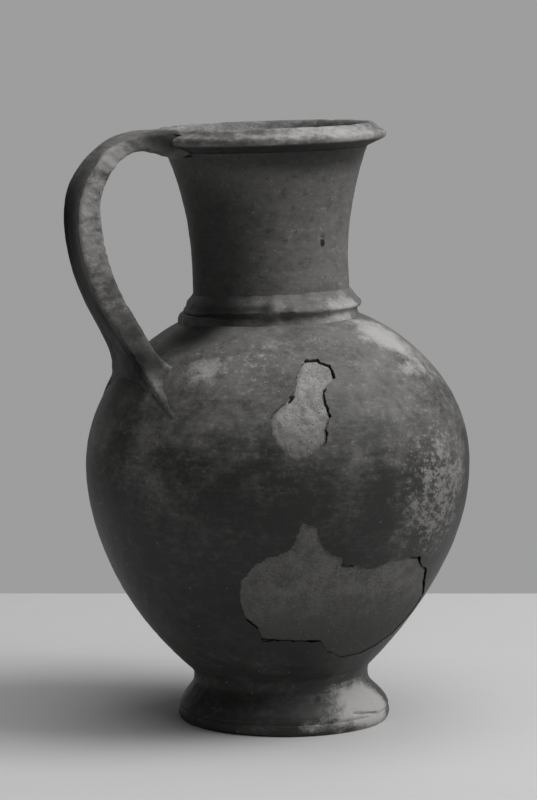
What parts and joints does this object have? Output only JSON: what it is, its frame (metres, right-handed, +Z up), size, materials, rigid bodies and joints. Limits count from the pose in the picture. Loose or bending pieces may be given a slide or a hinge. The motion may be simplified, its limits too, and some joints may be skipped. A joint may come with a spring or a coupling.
{
  "type": "one-handled ceramic jug",
  "caption": "One-handled ceramic jug with a full belly on a flared foot, a collared flaring neck, a drooping rim and two filled breaks in its wall.",
  "frame": {"origin": "centre of the foot's flat resting face", "axes": "+Z up from the resting face, -X towards the handle, -Y towards the side with the two filled breaks; the vessel's own axis leans 2 degrees from +Z towards -X"},
  "size_m": [0.1667, 0.1556, 0.2423],
  "materials": {
    "dark_ware": "burnished, worn",
    "pale_fill": "granular, matte",
    "dark_fill": "granular, matte"
  },
  "bodies": {
    "root": {"foot": "dark_ware", "body": "dark_ware", "neck": "dark_ware", "neck_ring": "dark_ware", "mouth_rim": "dark_ware", "handle": "dark_ware", "shoulder_fill": "pale_fill", "belly_fill": "dark_fill"}
  },
  "joints": []
}
